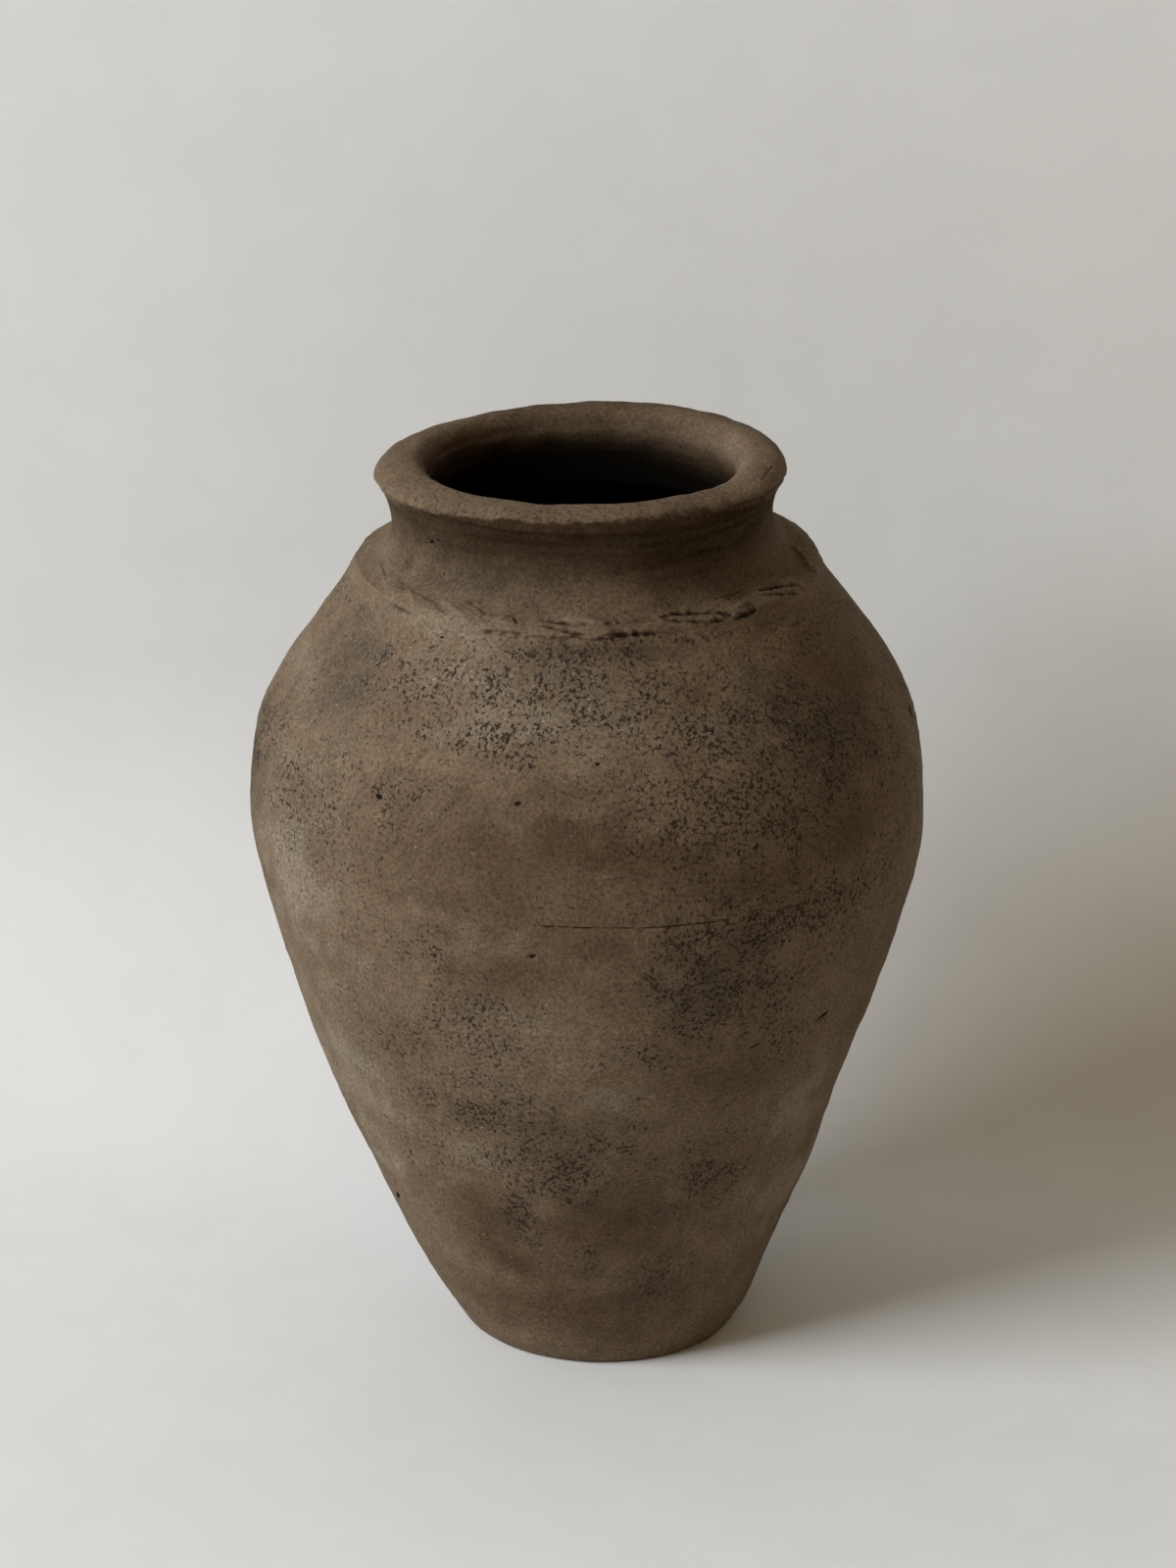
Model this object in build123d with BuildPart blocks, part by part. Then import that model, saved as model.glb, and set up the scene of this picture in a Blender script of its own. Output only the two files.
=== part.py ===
from build123d import *
import os
from math import cos, radians, sin

# A hand-built storage jar of smoke-fired clay. Flat sections of the jar are drawn with the radius along
# X and the height along Y, and each piece is its share of the section turned about the upright axis.
# Lengths are in millimetres, angles in degrees. The origin is the middle of the foot.

# Overall form
height = 330.0
foot_diameter = 102.0
belly_diameter = 241.0
belly_height = 200.0
neck_joint_diameter = 161.5
neck_height = 38.0
wall = 9.0
base_thickness = 11.0

# Lines of the wall: how far it leans out from upright, and how long each end of a curve runs straight
foot_lean = 32.0
foot_run = 30.0
belly_run_below = 40.0
belly_run_above = 46.0
shoulder_lean = 32.5
shoulder_run = 56.0

# Neck, lip and mouth. Each drop is measured down from the crest of the lip.
waist_diameter = 134.0
waist_drop = 21.5
lip_diameter = 144.0
lip_drop = 6.5
crest_diameter = 121.0
mouth_diameter = 108.0
mouth_drop = 9.0
throat_length = 18.0

# Bevelled joints between the pieces
lower_seam_height = 145.0
belly_seam_height = 200.0
seam_bevel = 40.0
lip_seam_drop = 13.0
foot_arris = 1.5

# Lutes: strips of soft clay pressed over the joints
base_lute_radius = 9.0
seam_lute_radius = 12.0
seam_lute_proud = 2.5
neck_lute_width = 26.0
neck_lute_depth = 6.0
neck_lute_proud = 2.5

# Finger strokes in the outside lute of the neck
stroke_count = 16
stroke_length = 36.0
stroke_depth = 1.5
stroke_tilt = 9.0
finger_diameter = 12.0

foot_radius = foot_diameter / 2
belly_radius = belly_diameter / 2
neck_joint_radius = neck_joint_diameter / 2
neck_joint_height = height - neck_height
waist_point = (waist_diameter / 2, height - waist_drop)
lip_point = (lip_diameter / 2, height - lip_drop)
crest_radius = crest_diameter / 2
mouth_radius = mouth_diameter / 2
mouth_height = height - mouth_drop
throat_foot_height = mouth_height - throat_length
seam_overrun = wall / 2
outside = belly_diameter
across = Vector(1, 0)
neck_inward = Vector(-cos(radians(shoulder_lean)), -sin(radians(shoulder_lean)))


def skin_points(inset):
    """Control points of the two wall curves, foot to girth and girth to neck joint, set in from outside."""
    foot_rise = Vector(sin(radians(foot_lean)), cos(radians(foot_lean)))
    foot_inward = Vector(-foot_rise.Y, foot_rise.X)
    foot = Vector(foot_radius, 0) + foot_inward * inset
    girth = Vector(belly_radius - inset, belly_height)
    shoulder_rise = Vector(neck_inward.Y, -neck_inward.X)
    joint = Vector(neck_joint_radius, neck_joint_height) + neck_inward * inset
    lower = [foot, foot + foot_rise * foot_run, girth - Vector(0, belly_run_below), girth]
    upper = [girth, girth + Vector(0, belly_run_above), joint - shoulder_rise * shoulder_run, joint]
    return lower, upper


def crossing(skin, point, direction):
    """The point where a skin of the wall crosses a straight line."""
    line = Axis(point, direction)
    hits = [hit for curve in skin.edges() for hit in curve.find_intersection_points(line)]
    return hits[0]


def seam_ends(level):
    """Ends of a bevelled joint on the inner and the outer skin, from its level outside."""
    outer_end = crossing(outer_skin, (0, level), across)
    inward = (-cos(radians(seam_bevel)), sin(radians(seam_bevel)))
    return crossing(inner_skin, outer_end, inward), outer_end


def seam_line(inner_end, outer_end):
    """Line from the axis to the outside that follows a joint through the clay."""
    overrun = (outer_end - inner_end).normalized() * seam_overrun
    start = inner_end - overrun
    end = outer_end + overrun
    return [(0, start.Y), start, end, (outside, end.Y)]


def level_line(level):
    """Level line from the axis to the outside."""
    return [(0, level), (outside, level)]


def keep_between(below, above):
    """Keeps the part of the open sketch that lies between two lines."""
    with BuildLine() as zone:
        Polyline(*below, *reversed(above), close=True)
    make_face(zone.edges(), mode=Mode.INTERSECT)


# Outer and inner skins of the wall
with BuildLine() as outer_skin:
    outer_lower, outer_upper = skin_points(0)
    Bezier(*outer_lower)
    Bezier(*outer_upper)
with BuildLine() as inner_skin:
    inner_lower, inner_upper = skin_points(wall)
    Bezier(*inner_lower)
    Bezier(*inner_upper)

# Joints from the foot up
lower_seam_ends = seam_ends(lower_seam_height)
belly_seam_ends = seam_ends(belly_seam_height)
neck_seam_ends = (inner_upper[-1], outer_upper[-1])
lip_seam_ends = (Vector(mouth_radius, mouth_height), Vector(lip_point[0], height - lip_seam_drop))
foot_line = level_line(0)
base_seam = level_line(base_thickness)
lower_seam = seam_line(*lower_seam_ends)
belly_seam = seam_line(*belly_seam_ends)
neck_seam = seam_line(*neck_seam_ends)
lip_seam = seam_line(*lip_seam_ends)
crest_line = level_line(height)

# The space inside the jar, from the top of the base slab to the mouth
with BuildSketch(Plane.XZ) as hollow_section:
    with BuildLine():
        Bezier(*inner_lower)
        Bezier(*inner_upper)
        Line(inner_upper[-1], (mouth_radius, throat_foot_height))
        Line((mouth_radius, throat_foot_height), (mouth_radius, mouth_height))
        EllipticalCenterArc(
            (crest_radius, mouth_height),
            crest_radius - mouth_radius,
            height - mouth_height,
            start_angle=180,
            arc_size=-90,
        )
        Polyline((crest_radius, height), (0, height), (0, inner_lower[0].Y), inner_lower[0])
    make_face()
    keep_between(base_seam, crest_line)

# The clay, cut through the axis
with BuildSketch(Plane.XZ) as jar_section:
    with BuildLine():
        Line((0, 0), outer_lower[0])
        Bezier(*outer_lower)
        Bezier(*outer_upper)
        TangentArc(waist_point, outer_upper[-1], tangent=(0, -1))
        TangentArc(waist_point, lip_point, tangent=(0, 1))
        EllipticalCenterArc(
            (crest_radius, lip_point[1]),
            lip_point[0] - crest_radius,
            height - lip_point[1],
            start_angle=0,
            arc_size=90,
        )
        Polyline((crest_radius, height), (0, height), (0, 0))
    make_face()
    add(hollow_section, mode=Mode.SUBTRACT)

# Base slab, with its lower edge rubbed round
with BuildPart() as base_disc:
    with BuildSketch(Plane.XZ) as base_section:
        add(jar_section)
        keep_between(foot_line, base_seam)
        fillet(base_section.vertices().group_by(Axis.Y)[0].sort_by(Axis.X)[-1], foot_arris)
    revolve(axis=Axis.Z)

# Three wall sections, each bevelled to lap over the one below
with BuildPart() as lower_wall:
    with BuildSketch(Plane.XZ):
        add(jar_section)
        keep_between(base_seam, lower_seam)
    revolve(axis=Axis.Z)

with BuildPart() as belly_wall:
    with BuildSketch(Plane.XZ):
        add(jar_section)
        keep_between(lower_seam, belly_seam)
    revolve(axis=Axis.Z)

with BuildPart() as shoulder_wall:
    with BuildSketch(Plane.XZ):
        add(jar_section)
        keep_between(belly_seam, neck_seam)
    revolve(axis=Axis.Z)

# Concave neck with the straight throat inside it
with BuildPart() as neck_collar:
    with BuildSketch(Plane.XZ):
        add(jar_section)
        keep_between(neck_seam, lip_seam)
    revolve(axis=Axis.Z)

# Rolled coil of the lip
with BuildPart() as rim_coil:
    with BuildSketch(Plane.XZ):
        add(jar_section)
        keep_between(lip_seam, crest_line)
    revolve(axis=Axis.Z)


def seam_lute(inner_end, outward):
    """Draws a lens of clay pressed over the inner end of a joint."""
    with Locations(inner_end + outward * (seam_lute_radius - seam_lute_proud)):
        Circle(seam_lute_radius)
    add(hollow_section, mode=Mode.INTERSECT)


# Coil in the corner between the base slab and the wall
with BuildPart() as base_lute:
    with BuildSketch(Plane.XZ):
        with Locations(crossing(inner_skin, (0, base_thickness), across)):
            Circle(base_lute_radius)
        add(hollow_section, mode=Mode.INTERSECT)
    revolve(axis=Axis.Z)

# Strips over the joints inside
with BuildPart() as lower_seam_lute:
    with BuildSketch(Plane.XZ):
        seam_lute(lower_seam_ends[0], across)
    revolve(axis=Axis.Z)

with BuildPart() as belly_seam_lute:
    with BuildSketch(Plane.XZ):
        seam_lute(belly_seam_ends[0], across)
    revolve(axis=Axis.Z)

with BuildPart() as throat_lute:
    with BuildSketch(Plane.XZ):
        seam_lute(neck_seam_ends[0], -neck_inward)
    revolve(axis=Axis.Z)

# Strip round the neck joint outside, drawn out with slanting finger strokes
lute_face = outer_upper[-1] - neck_inward * neck_lute_proud
stroke_centre = lute_face - neck_inward * (finger_diameter / 2 - stroke_depth)
with BuildPart() as neck_lute:
    with BuildSketch(Plane.XZ):
        with Locations(lute_face + neck_inward * neck_lute_depth):
            Ellipse(neck_lute_width / 2, neck_lute_depth, rotation=90 + shoulder_lean)
        add(jar_section, mode=Mode.SUBTRACT)
        add(hollow_section, mode=Mode.SUBTRACT)
    revolve(axis=Axis.Z)
    with Locations((0, 0, stroke_centre.Y)):
        with PolarLocations(stroke_centre.X, stroke_count):
            Cylinder(finger_diameter / 2, stroke_length, rotation=(90 - stroke_tilt, 0, 0), mode=Mode.SUBTRACT)

pieces = {
    "base_disc": base_disc,
    "base_lute": base_lute,
    "lower_wall": lower_wall,
    "lower_seam_lute": lower_seam_lute,
    "belly_wall": belly_wall,
    "belly_seam_lute": belly_seam_lute,
    "shoulder_wall": shoulder_wall,
    "neck_collar": neck_collar,
    "neck_lute": neck_lute,
    "throat_lute": throat_lute,
    "rim_coil": rim_coil,
}
os.makedirs("parts", exist_ok=True)
for name, piece in pieces.items():
    piece.part.label = name
    export_step(piece.part, f"parts/{name}.step")
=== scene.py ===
from functools import cached_property
from math import cos, pi, radians, sin

import bpy
import numpy as np
from mathutils import Matrix, Vector


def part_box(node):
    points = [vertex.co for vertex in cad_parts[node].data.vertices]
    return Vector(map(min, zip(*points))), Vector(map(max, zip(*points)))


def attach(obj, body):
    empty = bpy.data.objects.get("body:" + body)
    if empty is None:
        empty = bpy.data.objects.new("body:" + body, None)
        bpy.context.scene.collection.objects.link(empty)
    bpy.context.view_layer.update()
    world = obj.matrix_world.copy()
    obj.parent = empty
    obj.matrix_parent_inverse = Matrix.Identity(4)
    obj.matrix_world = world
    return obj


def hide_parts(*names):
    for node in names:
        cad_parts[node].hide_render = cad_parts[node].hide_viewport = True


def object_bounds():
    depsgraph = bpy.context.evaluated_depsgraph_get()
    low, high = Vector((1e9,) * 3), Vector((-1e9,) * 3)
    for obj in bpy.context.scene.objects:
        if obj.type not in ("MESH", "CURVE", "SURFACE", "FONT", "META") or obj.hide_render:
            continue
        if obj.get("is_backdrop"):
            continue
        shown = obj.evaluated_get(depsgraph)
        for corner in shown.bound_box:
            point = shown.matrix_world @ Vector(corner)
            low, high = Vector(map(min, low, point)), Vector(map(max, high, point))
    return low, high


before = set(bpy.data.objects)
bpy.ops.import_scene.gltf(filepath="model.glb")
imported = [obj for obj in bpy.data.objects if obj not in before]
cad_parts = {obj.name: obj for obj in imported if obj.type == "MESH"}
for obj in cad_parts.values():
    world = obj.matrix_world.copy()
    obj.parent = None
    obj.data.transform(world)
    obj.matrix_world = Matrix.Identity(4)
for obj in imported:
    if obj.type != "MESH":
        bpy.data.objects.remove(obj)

cad_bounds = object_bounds()

# A hand-built, smoke-fired clay jar, made over the solids of the frame. Shapes are worked out in
# millimetres. A place on the jar is the degrees round from the front, to the right as the camera sees
# it, and the height of its point on the outside.

MM = 0.001
BODY = "root"


def corners(node):
    """Lowest and highest corners of a solid, in millimetres."""
    return np.array(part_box(node)) / MM


# Sizes that the frame gives
HEIGHT = corners("rim_coil")[1, 2]
LIP_RADIUS = corners("rim_coil")[1, 0]
BELLY_RADIUS = corners("belly_wall")[1, 0]
BASE_TOP = corners("base_disc")[1, 2]
LOWER_SEAM = corners("belly_wall")[0, 2]
BELLY_SEAM = corners("shoulder_wall")[0, 2]
INNER_JOINT_HEIGHT = corners("neck_collar")[0, 2]

# Lines of the wall, as in the solids
WALL = 9.0
FOOT_RADIUS = 51.0
FOOT_LEAN = radians(32.0)
FOOT_RUN = 30.0
FOOT_ARRIS = 2.4
FOOT_FLAT = 6.0
BELLY_RUN_BELOW = 40.0
BELLY_RUN_ABOVE = 46.0
NECK_JOINT = np.array([80.75, HEIGHT - 38.0])
SHOULDER_LEAN = radians(32.5)
SHOULDER_RUN = 56.0
SEAM_BEVEL = radians(40.0)

# Neck, lip and mouth, as in the solids
WAIST = np.array([67.0, HEIGHT - 21.5])
LIP = np.array([LIP_RADIUS, HEIGHT - 6.5])
LIP_SEAM = np.array([LIP_RADIUS, HEIGHT - 13.0])
CREST_RADIUS = 60.5
MOUTH = np.array([54.0, HEIGHT - 9.0])
THROAT_LENGTH = 18.0

# How the hand-built jar strays from its axis and its levels
FOOT_DRIFT = 4.7
FOOT_DRIFT_HEIGHT = 90.0
FOOT_DRIFT_BEND = 1.3
RIM_DRIFT = -2.2
RIM_DRIFT_FROM = 272.0
SHOULDER_DRIFT = 1.6
SHOULDER_DRIFT_HEIGHT = 253.0
SHOULDER_DRIFT_REACH = 20.0
RIM_TILT = 1.0
RIM_TILT_FROM = HEIGHT - 40.0
SEAM_SWAY = 2.4
SEAM_SWAY_FROM = -82.0
SEAM_SWAY_REACH = 45.0
OVALITY = 0.003
OVALITY_FROM = 35.0
OVALITY_RISE = 60.0

# Where the rim rises and dips: degrees round, reach in degrees, and height
RIM_WAVES = [(-140, 38, -1.0), (145, 40, 0.9), (-45, 45, 1.1), (5, 30, 0.5), (55, 25, -1.0), (180, 35, -0.6)]

# Fineness of the meshes: columns round the jar, and steps along the outline in millimetres
WALL_COLUMNS = 700
NECK_COLUMNS = 900
LUTE_COLUMNS = 1100
INNER_COLUMNS = 480
WALL_FINENESS = 0.35
LUTE_FINENESS = 0.6
INNER_STEP = 4.5
INNER_LUTE_STEP = 1.2
BASE_STEP = 1.0
BASE_RINGS = 20
BASE_MIDDLE = 0.02
SEAM_STEPS = 5
JOINT_ROWS = (0.12, 0.28, 0.5, 0.8, 1.2)
CLOSEST_ROWS = 0.1
SHARP_ANGLE = radians(60)


# Curves

def bezier(points, count=400):
    """Points along a cubic curve."""
    t = np.linspace(0, 1, count)[:, None]
    a, b, c, d = (np.array(p, float) for p in points)
    return a * (1 - t) ** 3 + 3 * b * t * (1 - t) ** 2 + 3 * c * t**2 * (1 - t) + d * t**3


def arc(centre, half_sizes, start, end, count=120):
    """Points along a circle or an upright ellipse, between two angles in degrees."""
    angle = np.radians(np.linspace(start, end, count))
    return np.column_stack([
        centre[0] + half_sizes[0] * np.cos(angle),
        centre[1] + half_sizes[1] * np.sin(angle),
    ])


def upright_arc(waist, end):
    """Points along the circle that stands upright at the waist and ends at another point."""
    across, rise = end - waist
    radius = (across**2 + rise**2) / (2 * across)
    centre = waist + [radius, 0]
    angle = np.degrees(np.arctan2(*(end - centre)[::-1])) % 360
    return arc(centre, (radius, radius), 180, angle)


def wall_curves(inset):
    """The two curves of the wall, foot to girth and girth to neck joint, set in from the outside."""
    rise = np.array([sin(FOOT_LEAN), cos(FOOT_LEAN)])
    foot = np.array([FOOT_RADIUS, 0]) + np.array([-rise[1], rise[0]]) * inset
    girth = np.array([BELLY_RADIUS - inset, BELLY_SEAM])
    inward = np.array([-cos(SHOULDER_LEAN), -sin(SHOULDER_LEAN)])
    joint = NECK_JOINT + inward * inset
    shoulder_rise = np.array([inward[1], -inward[0]])
    lower = bezier([foot, foot + rise * FOOT_RUN, girth - [0, BELLY_RUN_BELOW], girth])
    upper = bezier([girth, girth + [0, BELLY_RUN_ABOVE], joint - shoulder_rise * SHOULDER_RUN, joint])
    return np.vstack([lower, upper[1:]])


class SkinLine:
    """The outline of the clay in section, from under the foot, up outside, over the lip and down inside."""

    # Step between its points, the points that a direction is taken over, and the shortest step kept
    STEP = 0.1
    BLUR = 9
    SHORTEST = 1e-6

    def __init__(self):
        outer = wall_curves(0)
        inner = wall_curves(WALL)[::-1]
        edge = np.array([FOOT_RADIUS, 0])
        start = edge - [FOOT_ARRIS, 0]
        end = edge + np.array([sin(FOOT_LEAN), cos(FOOT_LEAN)]) * FOOT_ARRIS
        rounded = bezier([start, (start + 2 * edge) / 3, (end + 2 * edge) / 3, end], 40)
        lip = arc((CREST_RADIUS, LIP[1]), (LIP[0] - CREST_RADIUS, HEIGHT - LIP[1]), 0, 90)
        mouth = arc((CREST_RADIUS, MOUTH[1]), (CREST_RADIUS - MOUTH[0], HEIGHT - MOUTH[1]), 90, 180)
        points = np.vstack([
            [[0, 0]],
            rounded,
            outer[outer[:, 1] > end[1]],
            upright_arc(WAIST, NECK_JOINT)[::-1],
            upright_arc(WAIST, LIP),
            lip,
            mouth,
            [MOUTH - [0, THROAT_LENGTH]],
            inner[inner[:, 1] > BASE_TOP],
            [[0, BASE_TOP]],
        ])
        steps = np.hypot(*np.diff(points, axis=0).T)
        points = points[np.append(True, steps > self.SHORTEST)]
        length = np.append(0, np.cumsum(np.hypot(*np.diff(points, axis=0).T)))
        self.s = np.arange(0, length[-1], self.STEP)
        self.r = np.interp(self.s, length, points[:, 0])
        self.z = np.interp(self.s, length, points[:, 1])
        blur = np.ones(self.BLUR) / self.BLUR
        along_r = np.convolve(np.gradient(self.r), blur, "same")
        along_z = np.convolve(np.gradient(self.z), blur, "same")
        size = np.hypot(along_r, along_z)
        self.normal_r = along_z / size
        self.normal_z = -along_r / size
        self.crest = self.s[np.argmax(self.z)]
        self.outside = (self.s <= self.crest) & (self.z > 0)
        self.inside = self.s > self.crest

    def outer_at(self, z):
        """Length along the line to a height outside."""
        return np.interp(z, self.z[self.outside], self.s[self.outside])

    def inner_at(self, z):
        """Length along the line to a height inside."""
        return np.interp(z, self.z[self.inside][::-1], self.s[self.inside][::-1])

    def cross(self, side, point, direction):
        """Length along one side of the line to where it crosses a straight line."""
        off = (self.z - point[1]) * direction[0] - (self.r - point[0]) * direction[1]
        turns = np.nonzero(side[1:] & side[:-1] & (off[1:] * off[:-1] <= 0))[0]
        return self.s[turns[0]]

    def point(self, s):
        """Radius and height at a length along the line."""
        return np.array([np.interp(s, self.s, self.r), np.interp(s, self.s, self.z)])

    def normal(self, s):
        """Direction out of the clay at a length along the line."""
        return np.array([np.interp(s, self.s, self.normal_r), np.interp(s, self.s, self.normal_z)])


line = SkinLine()

# Ends of the joints on the two sides of the clay, as lengths along the outline. Inside, the wall starts a
# hair above the flat top of the base.
HAIR = 0.05
JOINT_OUT = line.outer_at(NECK_JOINT[1])
JOINT_IN = line.inner_at(INNER_JOINT_HEIGHT)
BEVEL = (-cos(SEAM_BEVEL), sin(SEAM_BEVEL))
LOWER_OUT = line.outer_at(LOWER_SEAM)
LOWER_IN = line.cross(line.inside, line.point(LOWER_OUT), BEVEL)
BELLY_OUT = line.outer_at(BELLY_SEAM)
BELLY_IN = line.cross(line.inside, line.point(BELLY_OUT), BEVEL)
BASE_OUT = line.outer_at(BASE_TOP)
BASE_IN = line.inner_at(BASE_TOP + HAIR)
LIP_IN = line.inner_at(MOUTH[1])
LIP_OUT = line.cross(line.outside & (line.z > WAIST[1]), MOUTH, LIP_SEAM - MOUTH)


# Noise and soft shapes

TINY = 1e-9


def smooth(low, high, value):
    """Goes smoothly from 0 at the low value to 1 at the high one."""
    t = np.clip((value - low) / (high - low), 0, 1)
    return t * t * (3 - 2 * t)


def falls(low, high, value):
    """Goes smoothly from 1 at the low value to 0 at the high one."""
    return 1 - smooth(low, high, value)


def bell(value):
    """1 at 0, and nearly 0 past 2 on both sides."""
    return np.exp(-(value**2))


WAVE_COUNT = 36
WAVE_SPREAD = (0.65, 1.5)


def waves(seed, length, stretch=(1, 1, 1)):
    """A seeded field of random waves of about one length, in millimetres, with a spread of about 1."""
    rng = np.random.default_rng(seed)
    heading = rng.normal(size=(WAVE_COUNT, 3))
    heading /= np.linalg.norm(heading, axis=1)[:, None]
    pace = heading * (2 * pi / (length * rng.uniform(*WAVE_SPREAD, WAVE_COUNT)))[:, None] * stretch
    phase = rng.uniform(0, 2 * pi, WAVE_COUNT)

    def field(place):
        total = np.zeros(place.shape[:-1])
        for step, start in zip(pace, phase):
            total += np.cos(place @ step + start)
        return total * (2 / WAVE_COUNT) ** 0.5

    return field


swell = waves(3, 80)
dent = waves(5, 22)
lump = waves(7, 7)
wipe = waves(11, 3.2, stretch=(0.06, 0.06, 1))
coil_rings = waves(13, 11, stretch=(0.05, 0.05, 1))
patch_edge = waves(17, 13)
patch_mottle = waves(19, 32)
edge_wander = waves(23, 16)
edge_tear = waves(29, 3.5)
smear = waves(31, 5, stretch=(0.25, 0.25, 1))

# Sums of these fields, each with its height: in millimetres, and for patches as a share of their size
HAND = [(swell, 0.45), (dent, 0.14), (lump, 0.035)]
HAND_INSIDE = [(wipe, 0.07), (coil_rings, 0.14), (dent, 0.3)]
LIP_PRESSED = [(edge_wander, 0.1), (lump, 0.02)]
STRIP_PRESSED = [(smear, 0.08), (lump, 0.05)]
STRIP_PRESSED_INSIDE = [(dent, 0.35), (smear, 0.25)]
SOOT_TEAR = [(edge_tear, 0.2), (edge_wander, 0.25), (lump, 0.1)]
SOOT_WANDER = [(patch_edge, 0.9), (dent, 0.8)]
PATCH_RAGS = [(patch_edge, 0.26), (patch_mottle, 0.2)]


def turn_from(az, start):
    """Degrees round from a start, between -180 and 180."""
    return (az - start + 180) % 360 - 180


def in_space(r, az, z):
    """Points at a radius, degrees round and a height."""
    turn = np.radians(az)
    return np.stack(np.broadcast_arrays(r * np.sin(turn), -r * np.cos(turn), z), axis=-1)


class Grid:
    """Rows and columns of places on the outline: degrees round, length along it, and points in space."""

    def __init__(self, s, az):
        self.s, self.az = np.meshgrid(s, az, indexing="ij")
        self.r, self.z = line.point(self.s)
        self.place = in_space(self.r, self.az, self.z)
        self.known = {}

    def noise(self, field):
        """Values of a field of waves, worked out once."""
        if field not in self.known:
            self.known[field] = field(self.place)
        return self.known[field]

    def mixed(self, fields):
        """Sum of several fields of waves, each times its height."""
        return sum(height * self.noise(field) for field, height in fields)

    def lifted(self, height):
        """Points that stand out from the outline by a height. The foot stays flat on the table."""
        normal_r, normal_z = line.normal(self.s)
        level = smooth(0, FOOT_FLAT, self.z)
        return in_space(self.r + height * normal_r, self.az, self.z + height * normal_z * level)

    def by_turn(self, table):
        """Value at each turn, from a table of degrees and values that closes on itself."""
        angles, values = np.array(table, float).T
        return np.interp(self.az, angles, values, period=360)

    def past_crest(self, low, high):
        """Goes from 0 to 1 between two lengths past the crest of the lip, on the way down inside."""
        return smooth(line.crest + low, line.crest + high, self.s)

    def across(self, az):
        """Distance round the jar from an upright line, in millimetres."""
        return np.radians(turn_from(self.az, az)) * self.r

    def along_and_over(self, az, z, tilt):
        """Distances from a place on the outside, along a tilted line and square to it."""
        u = self.across(az)
        v = self.s - line.outer_at(z)
        turn = radians(tilt)
        return u * cos(turn) + v * sin(turn), v * cos(turn) - u * sin(turn)

    def oval(self, az, z, half_width, half_height, tilt=0.0):
        """Distance from the middle of an oval on the outside, where 1 is its edge."""
        along, over = self.along_and_over(az, z, tilt)
        return np.hypot(along / half_width, over / half_height)

    def patch(self, az, z, half_width, half_height, softness, raggedness):
        """A patch with a ragged edge, which fades out from its middle the sooner the softer it is."""
        far = self.oval(az, z, half_width, half_height) + raggedness * self.mixed(PATCH_RAGS)
        return falls(1 - softness, 1 + 0.7 * softness, far)

    def trace(self, path):
        """Distance from a line through places on the outside, the share of the way along, and the side."""
        near = np.full(self.s.shape, np.inf)
        share = np.zeros(self.s.shape)
        side = np.zeros(self.s.shape)
        for step, ((az_a, z_a), (az_b, z_b)) in enumerate(zip(path, path[1:])):
            u = self.across(az_a)
            v = self.s - line.outer_at(z_a)
            du = np.radians(az_b - az_a) * self.r
            dv = line.outer_at(z_b) - line.outer_at(z_a)
            t = np.clip((u * du + v * dv) / (du**2 + dv**2 + TINY), 0, 1)
            far = np.hypot(u - t * du, v - t * dv)
            closer = far < near
            near = np.where(closer, far, near)
            share = np.where(closer, (step + t) / (len(path) - 1), share)
            side = np.where(closer, np.sign(du * v - dv * u), side)
        return near, share, side

    def ridge(self, path, width, rise):
        """Height of a ridge along a line through places on the outside, down to 0 about its width away."""
        near, share, _ = self.trace(path)
        return rise * bell(near / (0.5 * width)) * (4 * share * (1 - share)) ** 0.4

    def groove(self, path, width):
        """1 along a ragged groove that narrows to its ends, and 1 along the lip pushed up under it."""
        near, share, side = self.trace(path)
        full = np.minimum(1, 6 * share * (1 - share)) ** 0.6
        narrowing = 0.2 + 0.8 * full
        half = 0.5 * width * narrowing * np.clip(1 + 0.25 * self.noise(edge_tear), 0.5, 1.5)
        hole = narrowing * bell(near / half)
        lip = narrowing * bell(near / half - 1.7) * (side < 0)
        return hole, lip


# What the photograph shows on the walls: places are degrees round and height, sizes are millimetres

# Pits, chips and short slits: place, half length, half width, tilt, depth. The clay shader also paints shade
# dark into them.
MARKS = [
    (-12.8, 241.3, 1.5, 1, 35, 1),
    (-38.3, 235.5, 1.4, 1, -20, 0.9),
    (-9.1, 187.7, 1.2, 0.85, 10, 0.8),
    (0.8, 254.3, 0.8, 0.6, 0, 0.4),
    (82.3, 240.5, 2.6, 2, 0, 1.1),
    (-60.5, 232.5, 0.8, 0.6, 0, 0.5),
    (-63.3, 59.8, 1.4, 1.2, 40, 0.8),
    (10, 236.9, 0.6, 0.4, 0, 0.3),
    (22.7, 236.2, 0.7, 0.45, 20, 0.4),
    (-27.8, 170.2, 0.7, 0.45, 0, 0.4),
    (-14.9, 166.7, 0.6, 0.4, 0, 0.3),
    (12.4, 156, 0.6, 0.4, 0, 0.3),
    (5.9, 235, 0.5, 0.4, 0, 0.3),
    (-2.5, 207.2, 0.6, 0.4, 0, 0.3),
    (9.9, 128.7, 2, 0.4, 3, 0.4),
    (7.9, 106.8, 3.4, 0.26, 1, 0.3),
    (48.9, 146.8, 4, 0.85, 14, 1),
    (31.7, 145.4, 2.4, 0.42, 8, 0.5),
    (-35.6, 286.3, 1.3, 0.55, 20, 0.6),
    (-34.6, 287.6, 1.1, 0.6, 65, 0.7),
    (-52, 310.7, 1.2, 0.8, 30, 0.8),
    (-48.6, 312.2, 0.8, 0.35, 10, 0.3),
]
MARK_MARGIN = 0.45
MARK_REACH = 4.0
MARK_RAG = 0.3
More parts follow.
